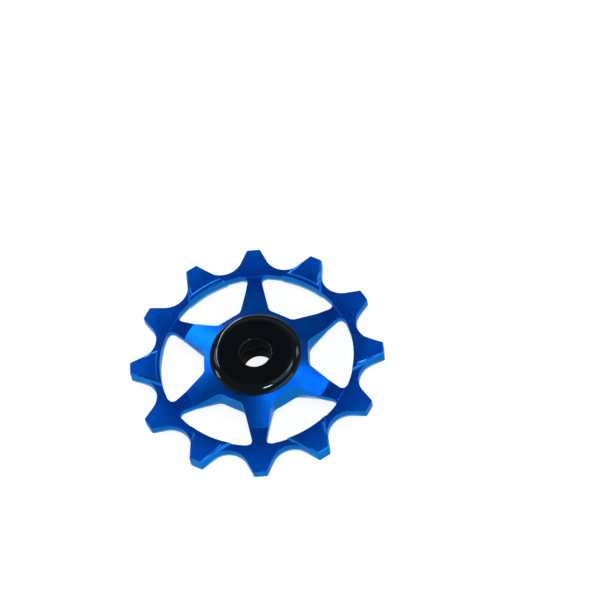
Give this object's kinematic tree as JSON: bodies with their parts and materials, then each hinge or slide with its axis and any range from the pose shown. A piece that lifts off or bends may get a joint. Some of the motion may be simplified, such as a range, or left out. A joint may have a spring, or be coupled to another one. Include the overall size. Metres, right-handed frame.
{
  "type": "derailleur jockey wheel",
  "caption": "Toothed chain guide wheel for a bicycle rear derailleur, with narrow and wide teeth by turns, open spokes, and a sealed ball bearing between end caps.",
  "frame": {"origin": "the middle of the wheel, on its axle, in the middle plane of the teeth", "axes": "+Z runs along the axle and up when the wheel lies on an end cap, +Y points along one spoke to its narrow tooth, and +X points to a wide tooth"},
  "size_m": [0.05, 0.05, 0.0072],
  "materials": {
    "blue_anodised": "machined and anodised clear glossy blue, with fine turning marks",
    "cap_black": "turned, polished and anodised black, bare of any print",
    "bearing_steel": "hardened and ground",
    "ball_steel": "polished",
    "cage_nylon": "moulded nylon",
    "seal_rubber": "moulded, satin"
  },
  "bodies": {
    "axle": {"top_cap": "cap_black", "bottom_cap": "cap_black", "bearing_inner_ring": "bearing_steel"},
    "wheel": {"toothed_wheel": "blue_anodised", "bearing_outer_ring": "bearing_steel", "top_seal": "seal_rubber", "bottom_seal": "seal_rubber"},
    "cage": {"ball_cage": "cage_nylon"},
    "ball_1": {"ball_1": "ball_steel"},
    "ball_2": {"ball_2": "ball_steel"},
    "ball_3": {"ball_3": "ball_steel"},
    "ball_4": {"ball_4": "ball_steel"},
    "ball_5": {"ball_5": "ball_steel"},
    "ball_6": {"ball_6": "ball_steel"},
    "ball_7": {"ball_7": "ball_steel"},
    "ball_8": {"ball_8": "ball_steel"},
    "ball_9": {"ball_9": "ball_steel"}
  },
  "joints": [
    {"name": "wheel_spin", "type": "hinge", "parent": "axle", "child": "wheel", "pos_m": [0, 0, 0], "axis": [0, 0, 1], "continuous": true},
    {"name": "cage_spin", "type": "hinge", "parent": "axle", "child": "cage", "pos_m": [0, 0, 0], "axis": [0, 0, 1], "continuous": true},
    {"name": "ball_1_roll", "type": "hinge", "parent": "cage", "child": "ball_1", "pos_m": [0.006, 0, 0], "axis": [0, 0, 1], "continuous": true},
    {"name": "ball_2_roll", "type": "hinge", "parent": "cage", "child": "ball_2", "pos_m": [0.0046, 0.00386, 0], "axis": [0, 0, 1], "continuous": true},
    {"name": "ball_3_roll", "type": "hinge", "parent": "cage", "child": "ball_3", "pos_m": [0.00104, 0.00591, 0], "axis": [0, 0, 1], "continuous": true},
    {"name": "ball_4_roll", "type": "hinge", "parent": "cage", "child": "ball_4", "pos_m": [-0.003, 0.0052, 0], "axis": [0, 0, 1], "continuous": true},
    {"name": "ball_5_roll", "type": "hinge", "parent": "cage", "child": "ball_5", "pos_m": [-0.00564, 0.00205, 0], "axis": [0, 0, 1], "continuous": true},
    {"name": "ball_6_roll", "type": "hinge", "parent": "cage", "child": "ball_6", "pos_m": [-0.00564, -0.00205, 0], "axis": [0, 0, 1], "continuous": true},
    {"name": "ball_7_roll", "type": "hinge", "parent": "cage", "child": "ball_7", "pos_m": [-0.003, -0.0052, 0], "axis": [0, 0, 1], "continuous": true},
    {"name": "ball_8_roll", "type": "hinge", "parent": "cage", "child": "ball_8", "pos_m": [0.00104, -0.00591, 0], "axis": [0, 0, 1], "continuous": true},
    {"name": "ball_9_roll", "type": "hinge", "parent": "cage", "child": "ball_9", "pos_m": [0.0046, -0.00386, 0], "axis": [0, 0, 1], "continuous": true}
  ],
  "couplings": [
    {"joint": "cage_spin", "follows": "wheel_spin", "ratio": 0.59921},
    {"joint": "ball_1_roll", "follows": "wheel_spin", "ratio": 2.4207},
    {"joint": "ball_2_roll", "follows": "wheel_spin", "ratio": 2.4207},
    {"joint": "ball_3_roll", "follows": "wheel_spin", "ratio": 2.4207},
    {"joint": "ball_4_roll", "follows": "wheel_spin", "ratio": 2.4207},
    {"joint": "ball_5_roll", "follows": "wheel_spin", "ratio": 2.4207},
    {"joint": "ball_6_roll", "follows": "wheel_spin", "ratio": 2.4207},
    {"joint": "ball_7_roll", "follows": "wheel_spin", "ratio": 2.4207},
    {"joint": "ball_8_roll", "follows": "wheel_spin", "ratio": 2.4207},
    {"joint": "ball_9_roll", "follows": "wheel_spin", "ratio": 2.4207}
  ]
}
